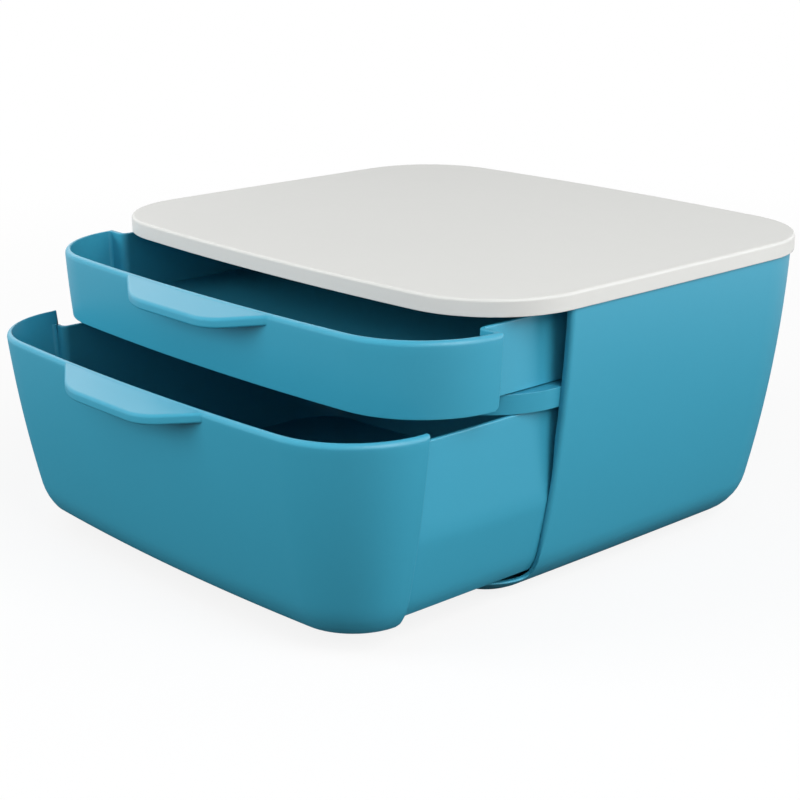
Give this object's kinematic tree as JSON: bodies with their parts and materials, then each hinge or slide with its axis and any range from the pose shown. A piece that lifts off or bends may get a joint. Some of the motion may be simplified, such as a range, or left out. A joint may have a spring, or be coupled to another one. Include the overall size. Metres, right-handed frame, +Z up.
{
  "type": "file box with drawers",
  "caption": "Rounded desktop file box with a shallow drawer over a deep drawer, both sliding out at the front under a flat light lid, with plate pull tabs.",
  "frame": {"origin": "middle of the body's footprint, on the desk surface that the feet stand on", "axes": "+Z up, +X to the right seen from the front, drawers slide out along -Y"},
  "size_m": [0.37, 0.4375, 0.19],
  "materials": {
    "shell_plastic": "fine satin moulded surface",
    "shelf_plastic": "fine satin moulded surface",
    "drawer_plastic": "fine satin moulded surface",
    "lid_plastic": "fine satin moulded surface",
    "foot_rubber": "matt rubber",
    "screw_steel": "zinc plated"
  },
  "bodies": {
    "cabinet": {"outer_shell": "shell_plastic", "top_lid": "lid_plastic", "divider_shelf": "shelf_plastic", "front_left_foot": "foot_rubber", "front_right_foot": "foot_rubber", "rear_left_foot": "foot_rubber", "rear_right_foot": "foot_rubber", "shelf_screws": "screw_steel", "lid_screws": "screw_steel"},
    "upper_drawer": {"upper_drawer_tray": "drawer_plastic"},
    "lower_drawer": {"lower_drawer_tray": "drawer_plastic"}
  },
  "joints": [
    {"name": "upper_drawer_slide", "type": "slide", "parent": "cabinet", "child": "upper_drawer", "axis": [0, -1, 0], "range_m": [-0.053, 0.127]},
    {"name": "lower_drawer_slide", "type": "slide", "parent": "cabinet", "child": "lower_drawer", "axis": [0, -1, 0], "range_m": [-0.103, 0.077]}
  ]
}
